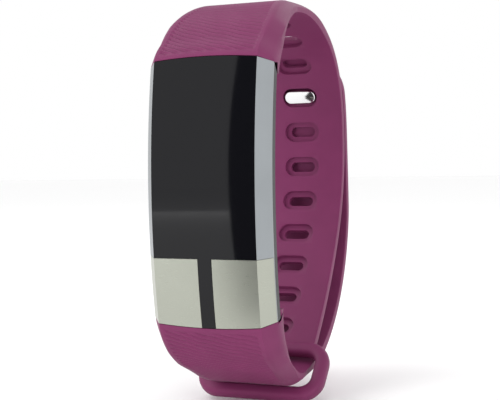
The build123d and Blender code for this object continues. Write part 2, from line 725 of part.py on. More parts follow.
def bevel_cutter(outer_line, side, taper_end_y, fade_length):
    """A wedge along one edge of a strap's root: the module's bevel, fading along the strap."""
    stations = 8
    sections = []
    for step in range(-1, stations + 1):
        share = max(step, 0) / stations
        distance = max(step, 0) * fade_length / stations
        here = outer_line.position_at(distance, position_mode=PositionMode.LENGTH)
        run = outer_line.tangent_at(distance, position_mode=PositionMode.LENGTH)
        if step < 0:
            here = here - run * 1.5
        normal = Vector(0, -run.Z, run.Y) * (1 if run.Z > 0 or here.Z > 0 else -1)
        depth = bevel_depth + (bevel_fade_depth - bevel_depth) * share
        width = taper_at(here.Y, taper_end_y)
        inner = width - depth * bevel_run / bevel_depth
        with BuildSketch(Plane(origin=here, x_dir=(1, 0, 0), z_dir=-run)) as section:
            with BuildLine():
                flip = 1 if Plane(origin=here, x_dir=(1, 0, 0), z_dir=-run).y_dir.dot(normal) > 0 else -1
                slope = bevel_depth / bevel_run
                Polyline(
                    (side * (inner - 0.5), flip * 0.5 * slope),
                    (side * (width + 0.5), -flip * (depth + 0.5 * slope)),
                    (side * (width + 2.5), flip * 0.5 * slope),
                    close=True,
                )
            make_face()
        sections.append(section.sketch.face())
    with BuildPart() as wedge:
        loft(sections, ruled=True)
    return wedge.part


def taper_at(y, taper_end_y):
    share = min(max((y - taper_start_y) / (taper_end_y - taper_start_y), 0.0), 1.0)
    return module_half_width + (strap_half_width - module_half_width) * share


def obround(size, plane, low, high, mode=Mode.SUBTRACT):
    with BuildSketch(plane.offset(low)) as outline:
        SlotOverall(*size)
    extrude(outline.sketch, amount=high - low, mode=mode)


front_end_y = curve_axis_y - front_radius * cos(radians(module_end_angle - 0.5))
front_end_z = front_radius * sin(radians(module_end_angle - 0.5))
front_run = (sin(radians(module_end_angle - 0.5)), cos(radians(module_end_angle - 0.5)))
upper_even = upper_arcs[0][0] * radians(upper_arcs[0][1]) + upper_arcs[1][0] * radians(upper_arcs[1][1])

with BuildPart() as upper_strap:
    extrude(strap_profile(*upper_chain, upper_even, upper_front_points, (front_end_y, front_end_z), front_run, True),
            amount=module_half_width, both=True)
    add(taper_prism(upper_taper_end_y), mode=Mode.INTERSECT)
    with BuildLine(Plane.YZ) as upper_front:
        Spline((front_end_y, front_end_z), *upper_front_points,
               outward(point_along(*upper_chain, upper_even), strap_thickness),
               tangents=[front_run, unit(point_along(*upper_chain, upper_even)[2])])
    for side in (1, -1):
        add(bevel_cutter(upper_front.wires()[0], side, upper_taper_end_y, bevel_fade_length), mode=Mode.SUBTRACT)
    add(root_cuts(1), mode=Mode.SUBTRACT)
    for index in range(hole_count):
        seat = point_along(*upper_chain, first_hole + index * hole_pitch)
        hole = face_plane(seat)
        obround(recess_size, hole, -1.0, recess_depth)
        if index == stud_hole:
            stretched = Plane(origin=hole.origin - hole.y_dir * release_room / 2, x_dir=hole.x_dir, z_dir=hole.z_dir)
            obround((head_size[0] + 0.3, head_size[1] + release_room + 0.15), stretched, -1.0, strap_thickness + 1)
        else:
            obround(slot_size, hole, -1.0, strap_thickness + 1)
    # square ring at the end, in line with the strap
    ring_seat = walk(*upper_chain)[-1]
    ring_plane = face_plane(ring_seat, strap_thickness / 2)
    with BuildSketch(ring_plane.offset(-ring_thickness / 2)):
        with Locations((0, ring_length / 2 - ring_overlap)):
            RectangleRounded(2 * ring_half_width, ring_length, ring_corner)
    extrude(amount=ring_thickness)
    with BuildSketch(ring_plane.offset(-ring_thickness / 2 - 2)):
        with Locations((0, ring_length / 2 - ring_overlap)):
            RectangleRounded(2 * (ring_half_width - ring_bar), ring_length - 2 * ring_bar, 1.6)
    extrude(amount=ring_thickness + 4, mode=Mode.SUBTRACT)
save(upper_strap.part, "upper_strap")

# The lower strap, from its tip: up to the bending line it is the tail, which carries the stud.
body_chain = (hinge_seat[:2], hinge_seat[2], part_of_chain(outer_arcs, hinge_distance, outer_total))
tail_chain = (outer_start, tip_seat[2], part_of_chain(outer_arcs, 0.0, hinge_distance))
body_even = outer_total - hinge_distance - lower_arcs[-1][0] * radians(lower_arcs[-1][1]) - 9.0
low_front_end = (front_end_y, -front_end_z)
low_front_run = (-front_run[0], front_run[1])


def hinge_cut(side):
    """Half space beyond the bending line, moved back by the gap."""
    angle = radians(hinge_seat[2])
    along = (0, cos(angle) * side, sin(angle) * side)
    origin = (0, hinge_point[0] + along[1] * -hinge_gap, hinge_point[1] + along[2] * -hinge_gap)
    with BuildPart() as half:
        with Locations(Plane(origin=origin, x_dir=(1, 0, 0), z_dir=along)):
            Box(30, 30, 6, align=(Align.CENTER, Align.CENTER, Align.MIN))
    return half.part


with BuildPart() as lower_strap:
    extrude(strap_profile(*body_chain, body_even, lower_front_points, low_front_end, low_front_run, False),
            amount=module_half_width, both=True)
    add(taper_prism(lower_taper_end_y), mode=Mode.INTERSECT)
    body_even_end = point_along(*body_chain, body_even)
    with BuildLine(Plane.YZ) as lower_front:
        Spline(low_front_end, *reversed(lower_front_points), outward(body_even_end, strap_thickness),
               tangents=[(-low_front_run[0], -low_front_run[1]), tuple(-value for value in unit(body_even_end[2]))])
    for side in (1, -1):
        add(bevel_cutter(lower_front.wires()[0], side, lower_taper_end_y, bevel_fade_length), mode=Mode.SUBTRACT)
    add(root_cuts(-1), mode=Mode.SUBTRACT)
    add(hinge_cut(-1), mode=Mode.SUBTRACT)
save(lower_strap.part, "lower_strap")

tail_round = 8.0            # the tip is rounded over this length
flange_low = layer_rise + flange_thickness
stud_plane = face_plane(stud_seat)

with BuildPart() as lower_strap_tail:
    tail_last = walk(*tail_chain)[-1]
    with BuildSketch(Plane.YZ):
        with BuildLine():
            draw_arcs(*tail_chain)
            draw_arcs(*tail_chain, grown=strap_thickness)
            Line(outer_start, outward((outer_start[0], outer_start[1], tip_seat[2]), strap_thickness))
            Line(tail_last[:2], outward(tail_last, strap_thickness))
        make_face()
    extrude(amount=strap_half_width, both=True)
    add(hinge_cut(1), mode=Mode.SUBTRACT)
    # round the tip across the strap
    tip_plane = face_plane(point_along(*upper_chain, tail_tip + tail_round / 2))
    with BuildSketch(tip_plane.offset(-15)):
        with Locations((0, 40 - tail_round / 2 - 0.6)):
            SlotOverall(80, 2 * strap_half_width, rotation=90)
    extrude(amount=40, mode=Mode.INTERSECT)
    obround((shank_size[0] + 0.05, shank_size[1] + 0.05), stud_plane, layer_rise - 1, flange_low)
    obround((flange_size[0] + 0.05, flange_size[1] + 0.05), stud_plane, flange_low,
            flange_low + flange_thickness + 0.04)
save(lower_strap_tail.part, "lower_strap_tail")

with BuildPart() as clasp_stud:
    head_top = recess_depth - stud_gap
    obround(head_size, stud_plane, head_top - head_thickness, head_top, mode=Mode.ADD)
    obround(shank_size, stud_plane, head_top - 0.1, flange_low + 0.1, mode=Mode.ADD)
    obround(flange_size, stud_plane, flange_low + 0.02, flange_low + 0.02 + flange_thickness, mode=Mode.ADD)
save(clasp_stud.part, "clasp_stud")
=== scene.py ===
import bpy
import bmesh
import json
from math import asin, cos, degrees, pi, radians, sin, sqrt
from mathutils import Matrix, Vector
from mathutils.geometry import interpolate_bezier


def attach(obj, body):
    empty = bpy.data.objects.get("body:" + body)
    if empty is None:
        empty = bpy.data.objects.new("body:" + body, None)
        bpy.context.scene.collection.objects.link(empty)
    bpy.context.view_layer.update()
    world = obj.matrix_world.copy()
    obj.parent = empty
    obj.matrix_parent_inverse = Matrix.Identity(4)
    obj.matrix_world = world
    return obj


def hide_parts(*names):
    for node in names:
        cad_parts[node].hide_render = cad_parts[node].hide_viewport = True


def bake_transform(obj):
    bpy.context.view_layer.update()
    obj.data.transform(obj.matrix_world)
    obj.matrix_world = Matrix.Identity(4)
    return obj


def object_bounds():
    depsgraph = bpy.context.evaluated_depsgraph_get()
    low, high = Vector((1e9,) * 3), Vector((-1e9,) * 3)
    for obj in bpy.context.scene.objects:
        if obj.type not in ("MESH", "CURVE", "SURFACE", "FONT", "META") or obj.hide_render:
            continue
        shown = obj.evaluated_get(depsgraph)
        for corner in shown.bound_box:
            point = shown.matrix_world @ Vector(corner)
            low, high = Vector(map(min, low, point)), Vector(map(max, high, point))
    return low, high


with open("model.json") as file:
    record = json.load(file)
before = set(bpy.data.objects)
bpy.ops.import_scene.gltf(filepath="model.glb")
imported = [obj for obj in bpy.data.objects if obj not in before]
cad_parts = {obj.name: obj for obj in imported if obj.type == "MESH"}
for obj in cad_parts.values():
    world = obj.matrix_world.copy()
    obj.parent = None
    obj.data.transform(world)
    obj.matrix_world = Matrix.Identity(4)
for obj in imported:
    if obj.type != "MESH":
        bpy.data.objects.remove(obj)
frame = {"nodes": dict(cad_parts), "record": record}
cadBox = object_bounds()
nodes = frame["nodes"]
scene = bpy.context.scene
mm = 0.001
print("frame loaded,", len(nodes), "nodes")

# the module, in millimetres: its display is bent to curveRadius, and both of its ends bow outwards
shell = {
    "curveRadius": 122.0,
    "crestY": -30.0,
    "halfLength": 21.45,
    "archRadius": 86.0,
    "halfWidth": 10.65,
    "wallDepth": 4.2,
    "rootGap": 0.12,
}

cameraSettings = {
    "place": (0.06177, -0.16996, 0.00420),
    "forward": (-0.3584, 0.9328, -0.03785),
    "up": (0.0, 0.04054, 0.99918),
    "lens": 70.59,
    "sensor": 36,
    "shiftY": 0.006,
    "near": 0.01,
}
lookAlong = Vector(cameraSettings["forward"]).normalized()
sideways = lookAlong.cross(Vector(cameraSettings["up"])).normalized()
turned = Matrix((sideways, sideways.cross(lookAlong), -lookAlong)).transposed().to_4x4()
cameraData = bpy.data.cameras.new("camera")
cameraData.lens = cameraSettings["lens"]
cameraData.sensor_width = cameraSettings["sensor"]
cameraData.shift_y = cameraSettings["shiftY"]
cameraData.clip_start = cameraSettings["near"]
camera = bpy.data.objects.new("camera", cameraData)
scene.collection.objects.link(camera)
camera.matrix_world = Matrix.Translation(cameraSettings["place"]) @ turned
scene.camera = camera
print("camera placed")

# one finish for each slot: grain is the noise scale, spread how far the colour wanders,
# bump how strongly the grain shows, stretch the grain along an axis
finishes = {
    "strap_purple": {"colour": (0.184, 0.030, 0.101), "rough": 0.50, "specular": 0.2,
        "grain": 2600, "bump": 0.18, "spread": 0.05},
    "black_glass": {"colour": (0.0034, 0.0034, 0.0048), "rough": 0.06, "roughSpread": 0.015,
        "specular": 0.30, "grain": 300, "spread": 0.1},
    "satin_metal": {"colour": (0.315, 0.335, 0.35), "metal": 1.0, "rough": 0.34, "grain": 1800,
        "bump": 0.08, "spread": 0.03},
    "electrode_steel": {"colour": (0.43, 0.445, 0.385), "metal": 1.0, "rough": 0.30,
        "grain": 900, "bump": 0.12, "spread": 0.03, "stretch": (1, 1, 14)},
    "dark_plastic": {"colour": (0.016, 0.016, 0.018), "rough": 0.45, "grain": 2500, "bump": 0.2,
        "spread": 0.15},
    "seal_rubber": {"colour": (0.02, 0.02, 0.02), "rough": 0.7, "grain": 1500, "bump": 0.2},
    "screw_steel": {"colour": (0.60, 0.60, 0.61), "metal": 1.0, "rough": 0.28, "grain": 2200,
        "bump": 0.1, "spread": 0.05},
    "window_glass": {"colour": (0.012, 0.013, 0.016), "rough": 0.06, "roughSpread": 0.01,
        "coat": 0.6, "grain": 400, "spread": 0.1},
    "gold_contact": {"colour": (0.83, 0.57, 0.22), "metal": 1.0, "rough": 0.25, "grain": 1500,
        "bump": 0.06},
    "display_black": {"colour": (0.008, 0.008, 0.010), "rough": 0.18, "grain": 900},
    "flex_amber": {"colour": (0.52, 0.20, 0.03), "rough": 0.35, "grain": 900, "coat": 0.3},
    "board_green": {"colour": (0.012, 0.09, 0.035), "rough": 0.4, "coat": 0.4, "grain": 1200,
        "spread": 0.2},
    "chip_black": {"colour": (0.02, 0.02, 0.02), "rough": 0.5, "grain": 3000, "bump": 0.15},
    "ceramic_white": {"colour": (0.75, 0.73, 0.67), "rough": 0.5, "grain": 1500},
    "battery_foil": {"colour": (0.60, 0.61, 0.63), "metal": 1.0, "rough": 0.38, "grain": 700,
        "bump": 0.3},
    "lead_red": {"colour": (0.38, 0.01, 0.008), "rough": 0.4, "grain": 900},
    "tungsten": {"colour": (0.20, 0.20, 0.21), "metal": 1.0, "rough": 0.5, "grain": 2500,
        "bump": 0.2},
    "led_lens": {"colour": (0.55, 0.72, 0.50), "rough": 0.12, "grain": 600, "coat": 0.5},
    "polished_steel": {"colour": (0.80, 0.80, 0.81), "metal": 1.0, "rough": 0.08,
        "roughSpread": 0.02, "grain": 900, "spread": 0.02},
}

finishBasics = {"coatRough": 0.04, "detail": 3, "broader": 14, "relief": 0.00004}


def makeFinish(name, look):
    material = bpy.data.materials.new(name)
    material.use_nodes = True
    tree = material.node_tree
    link = tree.links.new
    shader = tree.nodes["Principled BSDF"]
    shader.inputs["Metallic"].default_value = look.get("metal", 0.0)
    shader.inputs["Coat Weight"].default_value = look.get("coat", 0.0)
    shader.inputs["Coat Roughness"].default_value = finishBasics["coatRough"]
    shader.inputs["Specular IOR Level"].default_value = look.get("specular", 0.5)
    place = tree.nodes.new("ShaderNodeTexCoord")
    mapping = tree.nodes.new("ShaderNodeMapping")
    mapping.inputs["Scale"].default_value = look.get("stretch", (1, 1, 1))
    fine = tree.nodes.new("ShaderNodeTexNoise")
    fine.inputs["Scale"].default_value = look["grain"]
    fine.inputs["Detail"].default_value = finishBasics["detail"]
    broad = tree.nodes.new("ShaderNodeTexNoise")
    broad.inputs["Scale"].default_value = look["grain"] / finishBasics["broader"]
    tint = tree.nodes.new("ShaderNodeValToRGB")
    spread = look.get("spread", 0.06)
    for end, position, share in ((0, 0.3, 1 - spread), (1, 0.7, 1 + spread)):
        tint.color_ramp.elements[end].position = position
        shade = [min(channel * share, 1) for channel in look["colour"]]
        tint.color_ramp.elements[end].color = (*shade, 1)
    polish = tree.nodes.new("ShaderNodeMapRange")
    roughSpread = look.get("roughSpread", 0.07)
    polish.inputs["To Min"].default_value = look["rough"] - roughSpread
    polish.inputs["To Max"].default_value = look["rough"] + roughSpread
    link(place.outputs["Object"], mapping.inputs["Vector"])
    link(mapping.outputs["Vector"], fine.inputs["Vector"])
    link(place.outputs["Object"], broad.inputs["Vector"])
    link(broad.outputs["Fac"], tint.inputs["Fac"])
    link(tint.outputs["Color"], shader.inputs["Base Color"])
    link(fine.outputs["Fac"], polish.inputs["Value"])
    link(polish.outputs["Result"], shader.inputs["Roughness"])
    if look.get("bump"):
        relief = tree.nodes.new("ShaderNodeBump")
        relief.inputs["Strength"].default_value = look["bump"]
        relief.inputs["Distance"].default_value = finishBasics["relief"]
        link(fine.outputs["Fac"], relief.inputs["Height"])
        link(relief.outputs["Normal"], shader.inputs["Normal"])
    return material


materials = {name: makeFinish(name, look) for name, look in finishes.items()}
slotOf = {piece["node"]: piece["material_slot"] for piece in frame["record"]["subparts"]}
for name, node in nodes.items():
    node.data.materials.clear()
    node.data.materials.append(materials[slotOf[name]])
print("finishes made,", len(materials))


def place(bm, name, slot, body):
    # turns a bmesh in millimetres into a piece of the object
    bmesh.ops.recalc_face_normals(bm, faces=bm.faces[:])
    for edge in bm.edges:
        edge.smooth = edge.calc_face_angle(0) < radians(40)
    for face in bm.faces:
        face.smooth = True
    bmesh.ops.scale(bm, vec=(mm, mm, mm), verts=bm.verts[:])
    mesh = bpy.data.meshes.new(name)
    bm.to_mesh(mesh)
    bm.free()
    piece = bpy.data.objects.new(name, mesh)
    scene.collection.objects.link(piece)
    mesh.materials.append(materials[slot])
    if body:
        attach(piece, body)
    return piece


def roundedPlate(bm, width, length, corner, steps=7):
    # one flat face with round corners
    made = bmesh.ops.create_grid(bm, x_segments=1, y_segments=1, size=0.5)["verts"]
    bmesh.ops.scale(bm, vec=(width, length, 1), verts=made)
    bmesh.ops.bevel(bm, geom=made, affect="VERTICES", offset=corner, segments=steps, profile=0.5, material=-1)
    return [face for face in bm.faces if face.is_valid and len(face.verts) == 4 * (steps + 1)][-1]


def plateLoop(bm, width, length, corner, middle, height):
    plate = roundedPlate(bm, width, length, corner)
    bmesh.ops.translate(bm, vec=(0, middle, height), verts=plate.verts[:])
    edges = plate.edges[:]
    bmesh.ops.delete(bm, geom=[plate], context="FACES_ONLY")
    return edges


def openSkin(bm, height, middle, halfAcross, halfAlong):
    # takes the faces out of a window in a flat skin, and returns the window's rim
    doomed = []
    for face in bm.faces:
        centre = face.calc_center_median()
        if abs(centre.z - height) < 0.01 and abs(centre.x) < halfAcross and abs(centre.y - middle) < halfAlong:
            doomed.append(face)
    taken = set(doomed)
    rim = [edge for face in doomed for edge in face.edges if sum(other in taken for other in edge.link_faces) == 1]
    bmesh.ops.delete(bm, geom=doomed, context="FACES")
    return rim


def drawOut(bm, edges, height):
    # draws a rim up into a wall, and returns the wall's far rim
    made = bmesh.ops.extrude_edge_only(bm, edges=edges)["geom"]
    bmesh.ops.translate(bm, vec=(0, 0, height), verts=[item for item in made if isinstance(item, bmesh.types.BMVert)])
    return [item for item in made if isinstance(item, bmesh.types.BMEdge)]


def joinLevel(bm, outerRim, innerRim):
    # the inner rim is lifted while the bridge is made, so that the bridge can tell which way both rims face
    lifted = list({vert for edge in innerRim for vert in edge.verts})
    bmesh.ops.translate(bm, vec=(0, 0, 0.4), verts=lifted)
    bmesh.ops.bridge_loops(bm, edges=outerRim + innerRim)
    bmesh.ops.translate(bm, vec=(0, 0, -0.4), verts=lifted)


def thicken(bm, depth):
    made = bmesh.ops.extrude_face_region(bm, geom=bm.faces[:], use_keep_orig=True)["geom"]
    top = [item for item in made if isinstance(item, bmesh.types.BMVert)]
    bmesh.ops.translate(bm, vec=(0, 0, depth), verts=top)
    return top


def softenEdges(bm, width, steps=2, above=35):
    sharp = [edge for edge in bm.edges if edge.calc_face_angle(0) > radians(above)]
    bmesh.ops.bevel(bm, geom=sharp, affect="EDGES", offset=width, segments=steps, profile=0.5, material=-1,
                    clamp_overlap=True)


def walkArcs(chain, distance):
    # the point and the run at a distance along a strap's inner line, a chain of arcs that all turn the same way
    (y, z), angle = chain["start"], chain["heading"]
    left = distance
    for index, (radius, turn) in enumerate(chain["arcs"]):
        last = index == len(chain["arcs"]) - 1
        part = turn if left > radius * radians(turn) and not last else degrees(left / radius)
        middle = (y + radius * sin(radians(angle)), z - radius * cos(radians(angle)))
        angle -= part
        y, z = middle[0] - radius * sin(radians(angle)), middle[1] + radius * cos(radians(angle))
        left -= radius * radians(part)
        if left < 1e-6:
            break
    return Vector((0, y, z)), Vector((0, cos(radians(angle)), sin(radians(angle))))


def outwardsOf(run):
    # away from the wrist, square to the run
    return Vector((0, -run.z, run.y))


def smoothLine(points, firstRun, lastRun):
    # a curve through the points, cut fine, with the length up to each cut
    runs = [firstRun]
    for before, here, after in zip(points, points[1:], points[2:]):
        back, ahead = (here - before).length, (after - here).length
        runs.append(((here - before) / back * ahead + (after - here) / ahead * back).normalized())
    runs.append(lastRun)
    line = []
    for i in range(len(points) - 1):
        reach = (points[i + 1] - points[i]).length / 3
        line += interpolate_bezier(points[i], points[i] + runs[i] * reach, points[i + 1] - runs[i + 1] * reach,
                                   points[i + 1], 24)[:-1]
    line.append(points[-1])
    lengths = [0.0]
    for before, after in zip(line, line[1:]):
        lengths.append(lengths[-1] + (after - before).length)
    return line, lengths


def onLine(line, lengths, distance):
    for index in range(1, len(line)):
        if lengths[index] >= distance or index == len(line) - 1:
            share = (distance - lengths[index - 1]) / (lengths[index] - lengths[index - 1])
            run = (line[index] - line[index - 1]).normalized()
            return line[index - 1].lerp(line[index], share), run


# both straps: margins hold distance from the module, drop and width of the sloping margin
strapLook = {
    "thickness": 1.9, "halfWidth": 8.5, "columns": 40, "marginColumns": 5, "edgeRound": 0.2, "flatEdge": 8.25,
    "holeHalfWidth": 4.0, "archFade": 7.0,
    "margins": [(0.0, 2.57, 1.85), (12.0, 1.9, 2.05), (24.0, 1.15, 2.3), (40.0, 0.35, 0.5), (500.0, 0.35, 0.5)],
    "rippleEnd": 21.0, "rippleHalfWidth": 0.93, "ripplePitch": 0.95, "rippleDepth": 0.125, "rippleBow": 0.005,
    "plainBand": 0.7,
}
# each strap: start, heading and arcs (radius, degrees) are its inner line, front the points of its outer line
# beside the module, even the distance from which its thickness is even, taper where it narrows
upperStrap = {
    "start": (-23.8, 17.6), "heading": 75.0,
    "arcs": [(16.5, 48.0), (28.0, 28.0), (30.0, 28.0), (17.0, 50.0), (36.0, 42.0), (80.0, 18.0)],
    "front": [(-24.5, 25.1), (-20.3, 28.45), (-14.9, 31.2)],
    "even": 27.506, "taper": (-21.0, -7.0), "begins": 1.061, "ends": 108.51, "rowStep": 7.03 / 14, "side": 1,
    "rippleSlope": 0.42, "swell": (0.0, 1.0, 0.0), "firstHole": 33.7, "pitch": 7.03, "holes": 11,
    "recess": (7.1, 3.85, 0.85), "recessRim": (4.01, 2.52), "slot": (5.0, 1.9), "slotRim": 0.75,
    "studHole": 3, "studSlot": (6.7, 3.2, -0.225),
}
# the lower strap is made the same way up as the upper one, and is turned over at the end
lowerStrap = {
    "start": (-22.681, 18.232), "heading": 98.5,
    "arcs": [(10.0, 70.0), (50.0, 7.0), (18.5, 28.0), (30.6, 73.5), (16.0, 12.5), (580.0, 1.5), (38.0, 7.0),
             (19.0, 32.7006)],
    "front": [(-25.66, 25.5), (-21.35, 28.9), (-15.4, 31.65)],
    "even": 21.217, "taper": (-21.0, -4.0), "begins": 0.392, "ends": 100.782, "rowStep": 0.5, "side": -1,
    "rippleSlope": 0.28, "swell": (18.5, 6.5, 0.5), "holes": 0, "tip": 8.5,
}


def strapMesh(chain):
    # a flat strap with its stepped holes: x across it, y along it, z up through its thickness
    look = strapLook
    thick = look["thickness"]
    rows = round((chain["ends"] - chain["begins"]) / chain["rowStep"])
    bm = bmesh.new()
    skin = bmesh.ops.create_grid(bm, x_segments=look["columns"], y_segments=rows, size=0.5)["verts"]
    bmesh.ops.scale(bm, vec=(2 * look["halfWidth"], chain["ends"] - chain["begins"], 1), verts=skin)
    bmesh.ops.translate(bm, vec=(0, (chain["ends"] + chain["begins"]) / 2, 0), verts=skin)
    outer = thicken(bm, thick)
    for vert in outer:  # the outer skin keeps narrow columns for the sloping margins
        column = round((vert.co.x / look["halfWidth"] + 1) / 2 * look["columns"])
        fromEdge = min(column, look["columns"] - column)
        inMargin = look["marginColumns"]
        reach = look["flatEdge"] + (look["halfWidth"] - look["flatEdge"]) * (inMargin - fromEdge) / inMargin
        if fromEdge > inMargin:
            reach = look["flatEdge"] * abs(column - look["columns"] / 2) / (look["columns"] / 2 - inMargin)
        vert.co.x = reach * (1 if column > look["columns"] / 2 else -1)
    # stepped holes
    for index in range(chain["holes"]):
        middle = chain["firstHole"] + index * chain["pitch"]
        width, length, depth = chain["recess"]
        rim = openSkin(bm, 0, middle, *chain["recessRim"])
        recess = plateLoop(bm, width, length, length / 2 - 0.01, middle, 0)
        joinLevel(bm, rim, recess)
        floor = drawOut(bm, recess, depth)
        slotWidth, slotLength, shift = chain["studSlot"] if index == chain["studHole"] else (*chain["slot"], 0)
        slot = plateLoop(bm, slotWidth, slotLength, slotLength / 2 - 0.01, middle + shift, depth)
        joinLevel(bm, floor, slot)
        wall = drawOut(bm, slot, thick - depth)
        rim = openSkin(bm, thick, middle + shift, slotWidth / 2 + chain["slotRim"], slotLength / 2 + chain["slotRim"])
        joinLevel(bm, rim, wall)
    # finer skin where the ripples are
    fine = [edge for edge in bm.edges if all(v.co.z > thick - 0.01 and v.co.y < chain["begins"] + look["rippleEnd"]
                                             and abs(v.co.x) < look["flatEdge"] + 0.01 for v in edge.verts)]
    bmesh.ops.subdivide_edges(bm, edges=fine, cuts=3, use_grid_fill=True)
    endWall = [edge for edge in bm.edges if abs(edge.verts[0].co.z - edge.verts[1].co.z) > thick - 0.01
               and max(v.co.y for v in edge.verts) < chain["begins"] + 0.01]  # it bends round the module's corner
    bmesh.ops.subdivide_edges(bm, edges=endWall, cuts=2, use_grid_fill=True)
    return bm


def marginAt(travelled):
    # depth and width of the sloping margin at a distance from the module
    for (before, depth, width), (after, nextDepth, nextWidth) in zip(strapLook["margins"], strapLook["margins"][1:]):
        if travelled <= after:
            share = (travelled - before) / (after - before)
            share = share * share * (3 - 2 * share)
            return depth + (nextDepth - depth) * share, width + (nextWidth - width) * share


def bendStrap(bm, chain):
    # lays the flat strap round its line, with its ends, margins and ripples
    look = strapLook
    thick = look["thickness"]
    endTilt = asin((shell["halfLength"] + shell["rootGap"]) / shell["curveRadius"])
    centreY = shell["crestY"] + shell["curveRadius"]
    frontEnd = Vector((0, centreY - shell["curveRadius"] * cos(endTilt), shell["curveRadius"] * sin(endTilt)))
    wallRadius = shell["curveRadius"] - shell["wallDepth"] - shell["rootGap"]
    corner = Vector((0, centreY - wallRadius * cos(endTilt), wallRadius * sin(endTilt)))
    lipStart = walkArcs(chain, chain["begins"])[0]
    lip = Vector((0, centreY - sqrt(wallRadius**2 - lipStart.z**2), lipStart.z))
    evenPoint, evenRun = walkArcs(chain, chain["even"])
    frontPoints = [Vector((0, y, z)) for y, z in chain["front"]]
    line, lengths = smoothLine([frontEnd, *frontPoints, evenPoint + outwardsOf(evenRun) * thick],
                               Vector((0, sin(endTilt), cos(endTilt))), evenRun)
    taperStart, taperEnd = chain["taper"]
    flatWidth = look["halfWidth"]
    for vert in bm.verts:
        x, s, h = vert.co
        inner, run = walkArcs(chain, s)
        if s < chain["even"]:
            share = (s - chain["begins"]) / (chain["even"] - chain["begins"])
            outer, outerRun = onLine(line, lengths, share * lengths[-1])
            travelled = share * lengths[-1]
        else:
            outer, outerRun = inner + outwardsOf(run) * thick, run
            travelled = lengths[-1] + s - chain["even"]
        swellAt, swellReach, swell = chain["swell"]
        if abs(s - swellAt) < swellReach:
            outer = outer + outwardsOf(outerRun) * swell * (1 + cos(pi * (s - swellAt) / swellReach)) / 2
        rise = h / thick
        point = inner.lerp(outer, rise)
        if s < chain["begins"] + 0.01 and 0.1 < h < thick - 0.1:
            point = corner.copy() if h > thick / 2 else lip.copy()
        taperShare = min(max((point.y - taperStart) / (taperEnd - taperStart), 0), 1)
        width = shell["halfWidth"] + (flatWidth - shell["halfWidth"]) * taperShare
        if "tip" in chain and s > chain["ends"] - chain["tip"]:
            past = s - (chain["ends"] - chain["tip"])
            width = max(sqrt(max(flatWidth**2 - past**2, 0)), 0.02)
        reach = abs(x) / flatWidth * width
        if h > thick - 0.01:
            depth, marginWidth = marginAt(travelled)
            marginWidth = min(marginWidth, width * 0.4)
            flat = width - marginWidth
            margin = max(abs(x) - look["flatEdge"], 0) / (flatWidth - look["flatEdge"])
            core = min(look["holeHalfWidth"], flat / 2)
            reach = flat + margin * marginWidth
            if margin < 1e-6:
                reach = abs(x)
                if reach >= core:
                    reach = core + (reach - core) / (look["flatEdge"] - core) * (flat - core)
            margin = margin ** (1 + 0.7 * min(travelled / 14, 1))
            if "tip" in chain and s > chain["ends"] - chain["tip"]:
                depth *= min(width / flatWidth * 2, 1)
            point = point - outwardsOf(outerRun) * depth * margin
            if look["plainBand"] < travelled < look["rippleEnd"] + 2 and margin < 1e-6:
                strength = min((travelled - look["plainBand"]) / 0.5, 1)
                strength *= min(max((look["rippleEnd"] + 2 - travelled) / 12, 0), 1)
                strength *= min(max((look["rippleHalfWidth"] * flat - reach) / 0.4, 0), 1)
                across = reach if x > 0 else -reach
                wave = travelled + chain["side"] * across * (chain["rippleSlope"] - look["rippleBow"] * across)
                wave += 0.08 * sin(x * 1.3 + travelled * 0.35)
                ripple = sin(2 * pi * wave / look["ripplePitch"]) - 1
                point = point + outwardsOf(outerRun) * look["rippleDepth"] * strength * ripple
        arch = shell["archRadius"] - sqrt(shell["archRadius"]**2 - reach**2)
        ease = max(1 - travelled / look["archFade"], 0) * (rise if h > thick / 2 else 0)
        point.z -= arch * ease
        vert.co = (reach if x > 0 else -reach, point.y, point.z * chain["side"])


def makeStrap(chain, extra=None):
    bm = strapMesh(chain)
    bendStrap(bm, chain)
    bmesh.ops.remove_doubles(bm, verts=bm.verts[:], dist=0.005)
    bmesh.ops.recalc_face_normals(bm, faces=bm.faces[:])
    softenEdges(bm, strapLook["edgeRound"], 2, 38)
    if extra:
        extra(bm)
    return bm


ring = {
    "halfWidth": 12.0, "length": 12.4, "bar": 2.5, "thickness": 2.3, "corner": 4.5, "overlap": 1.1, "round": 0.75,
    "seat": 108.51,
}


def standOn(bm, distance, height):
    # stands a shape on the upper strap's inner face, at a distance along it
    seat, run = walkArcs(upperStrap, distance)
    out = outwardsOf(run)
    turn = Matrix((Vector((1, 0, 0)), run, out)).transposed().to_4x4()
    bmesh.ops.transform(bm, matrix=Matrix.Translation(seat + out * height) @ turn, verts=bm.verts[:])


def joinInto(bm, other):
    # adds another shape to this one
    mesh = bpy.data.meshes.new("part")
    other.to_mesh(mesh)
    other.free()
    bm.from_mesh(mesh)
    bpy.data.meshes.remove(mesh)


def addRing(bm):
    made = bmesh.new()
    plate = roundedPlate(made, 2 * ring["halfWidth"], ring["length"], ring["corner"], 10)
    bmesh.ops.inset_region(made, faces=[plate], thickness=ring["bar"], use_even_offset=True, use_boundary=True)
    bmesh.ops.delete(made, geom=[max(made.faces, key=lambda face: len(face.verts))], context="FACES_ONLY")
    thicken(made, ring["thickness"])
    drop = (0, ring["length"] / 2 - ring["overlap"], -ring["thickness"] / 2)
    bmesh.ops.translate(made, vec=drop, verts=made.verts[:])
    bmesh.ops.recalc_face_normals(made, faces=made.faces[:])
    softenEdges(made, ring["round"], 3, 60)
    standOn(made, ring["seat"], strapLook["thickness"] / 2)
    joinInto(bm, made)


